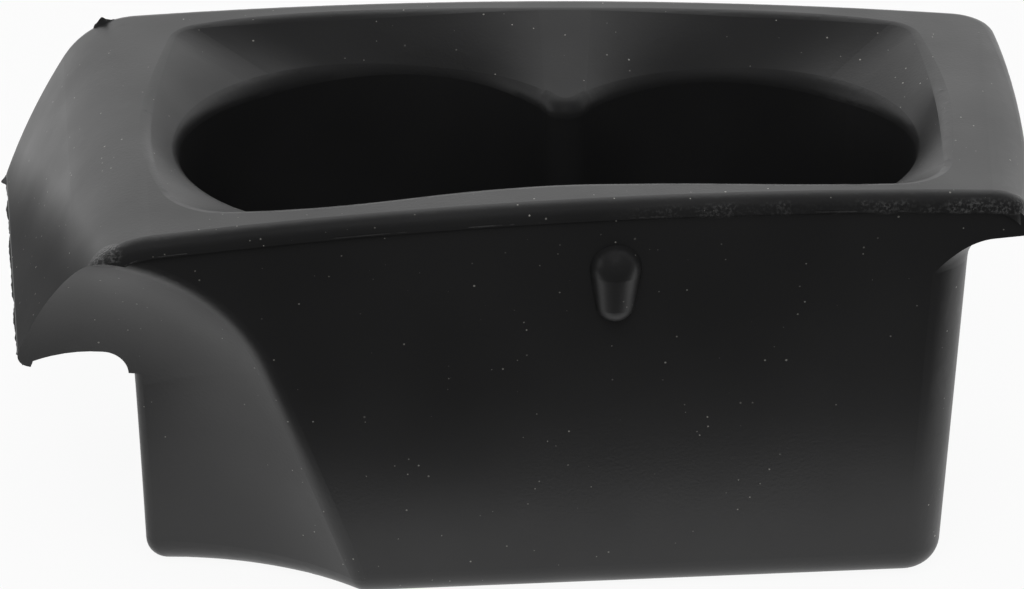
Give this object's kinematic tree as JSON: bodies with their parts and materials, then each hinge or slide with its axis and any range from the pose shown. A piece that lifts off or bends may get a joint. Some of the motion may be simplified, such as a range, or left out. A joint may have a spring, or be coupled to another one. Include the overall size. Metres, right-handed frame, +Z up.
{
  "type": "car cup holder",
  "caption": "Car console cup holder with joined round wells in a shared basin, a crowned flange that curls down at one end, and a small egg-shaped catch on the front face.",
  "frame": {"origin": "on the flat base, under the wells", "axes": "+X along the console from the curled end to the rolled end, +Y to the straight back edge, +Z up"},
  "size_m": [0.2099, 0.111, 0.088],
  "materials": {
    "black_plastic": "satin black, as moulded"
  },
  "bodies": {
    "root": {"cup_holder": "black_plastic"}
  },
  "joints": []
}
